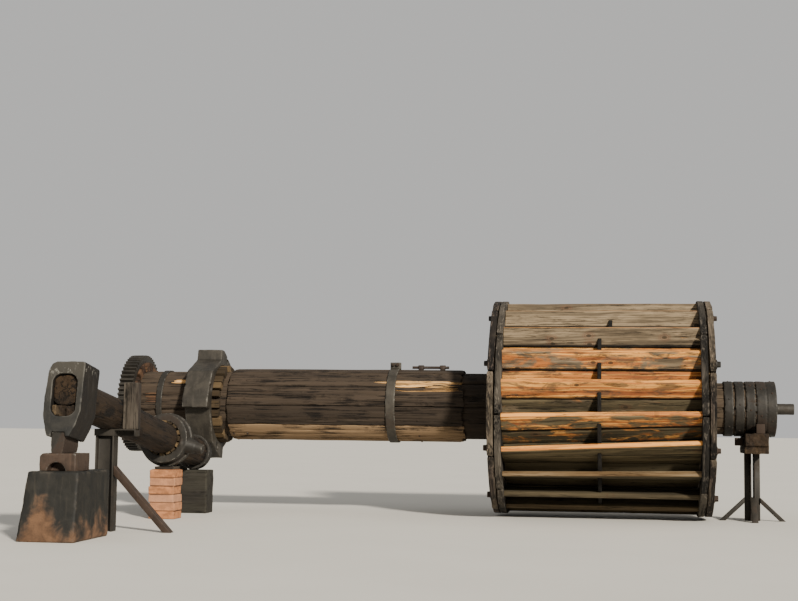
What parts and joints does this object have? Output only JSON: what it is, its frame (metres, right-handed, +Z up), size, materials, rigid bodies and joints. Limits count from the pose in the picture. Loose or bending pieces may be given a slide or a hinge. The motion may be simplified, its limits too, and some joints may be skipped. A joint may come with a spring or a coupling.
{
  "type": "water wheel",
  "caption": "Bucketed water wheel on a banded log shaft with a ring of cams and a ring gear, driving a tail hammer that stands over its anvil",
  "frame": {"origin": "on the floor under the middle of the machine's bounding box", "axes": "+X along the shaft from the cam end to the wheel, +Z up, the hammer lies on the -Y side"},
  "size_m": [7.22, 5.417, 2.23],
  "materials": {
    "log_wood": "dark weathered log",
    "cladding_wood": "dark weathered boards",
    "strap_iron": "rusted wrought strap",
    "bolt_iron": "rusted bolts",
    "rod_iron": "rusted rod",
    "cam_iron": "grey cast iron, weathered",
    "wedge_wood": "split wedges",
    "gear_iron": "grey cast iron",
    "gear_wedge_wood": "rotten orange wedges",
    "band_iron": "thin iron band",
    "gudgeon_iron": "rusty journal",
    "hoop_iron": "black iron hoops",
    "key_wood": "light wedges",
    "rim_wood": "grey-brown oak",
    "packing_wood": "yellowish packing",
    "rim_inner_wood": "blue-grey oak",
    "float_wood": "orange and grey boards",
    "bracket_wood": "grey brackets",
    "sole_wood": "dark sole boards",
    "arm_wood": "dark arms",
    "stand_iron": "dark painted channels",
    "saddle_wood": "brown timber",
    "chock_iron": "dark chocks",
    "helve_wood": "reddish dark log",
    "head_iron": "grey-black casting",
    "bit_iron": "worn steel",
    "eye_wood": "rotten wedges",
    "hurst_iron": "light grey casting",
    "hurst_wedge_wood": "pale wedges",
    "tail_iron": "grey hoop",
    "anvil_iron": "brown-grey anvil",
    "block_iron": "dark block with orange rust",
    "guide_wood": "grey guide post",
    "brace_iron": "rusty flat bars",
    "brick": "red bricks",
    "shim_wood": "grey shim",
    "tail_block_wood": "dark timber block"
  },
  "bodies": {
    "rotor": {"shaft_log": "log_wood", "shaft_cladding": "cladding_wood", "strap_hoop": "strap_iron", "strap_bolts": "bolt_iron", "tie_rod": "rod_iron", "cam_ring": "cam_iron", "cam_wedges": "wedge_wood", "spur_gear": "gear_iron", "gear_wedges": "gear_wedge_wood", "left_band": "band_iron", "gudgeons": "gudgeon_iron", "neck_hoops": "hoop_iron", "neck_keys": "key_wood", "rim_outer": "rim_wood", "rim_packing": "packing_wood", "rim_inner": "rim_inner_wood", "floats": "float_wood", "bucket_brackets": "bracket_wood", "sole_boards": "sole_wood", "arms_across": "arm_wood", "arms_upright": "arm_wood", "rim_bolts": "bolt_iron"},
    "stands": {"stand_posts": "stand_iron", "stand_braces": "stand_iron", "saddles": "saddle_wood", "saddle_chocks": "chock_iron", "helve": "helve_wood", "hammer_head": "head_iron", "hammer_bit": "bit_iron", "eye_wedges": "eye_wood", "hurst_ring": "hurst_iron", "hurst_wedges": "hurst_wedge_wood", "tail_hoop": "tail_iron", "anvil": "anvil_iron", "anvil_block": "block_iron", "helve_stand_post": "stand_iron", "helve_stand_bar": "stand_iron", "helve_guide": "guide_wood", "helve_brace": "brace_iron", "brick_pile": "brick", "brick_shim": "shim_wood", "tail_block": "tail_block_wood"}
  },
  "joints": [
    {"name": "wheel_spin", "type": "hinge", "parent": "stands", "child": "rotor", "pos_m": [1.68, 1.6085, 1.13], "axis": [1, 0, 0], "continuous": true}
  ]
}
